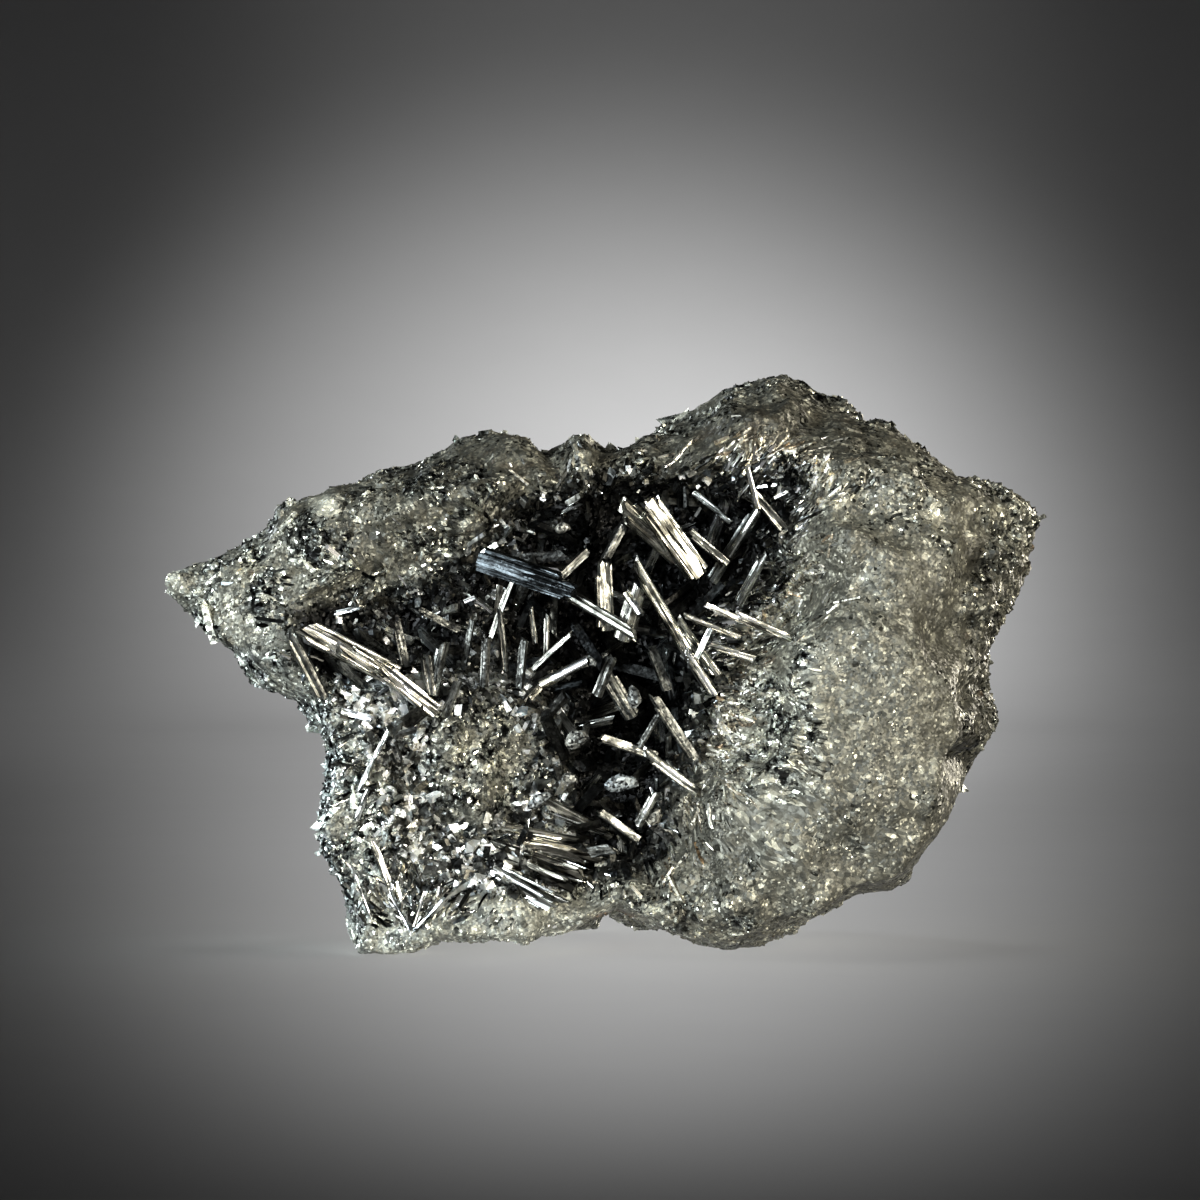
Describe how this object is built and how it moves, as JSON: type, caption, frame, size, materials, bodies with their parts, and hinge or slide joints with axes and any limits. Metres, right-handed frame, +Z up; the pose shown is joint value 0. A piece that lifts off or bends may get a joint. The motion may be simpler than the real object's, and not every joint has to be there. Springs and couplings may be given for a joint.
{
  "type": "manganite crystal",
  "caption": "Block of massive manganite that stands on its own feet, with an open hollow in its front lined with striated prismatic crystals.",
  "frame": {"origin": "on the ground, under the middle of the specimen's box", "axes": "+X to the right seen from the side with the hollow, +Y from the hollow to the broken back, +Z up"},
  "size_m": [0.0895, 0.0371, 0.0584],
  "materials": {
    "massive_manganite": "rough, sparkling, submetallic",
    "crystal_manganite": "bright metallic, striated"
  },
  "bodies": {
    "root": {"matrix": "massive_manganite", "crystal_crust": "crystal_manganite"}
  },
  "joints": []
}
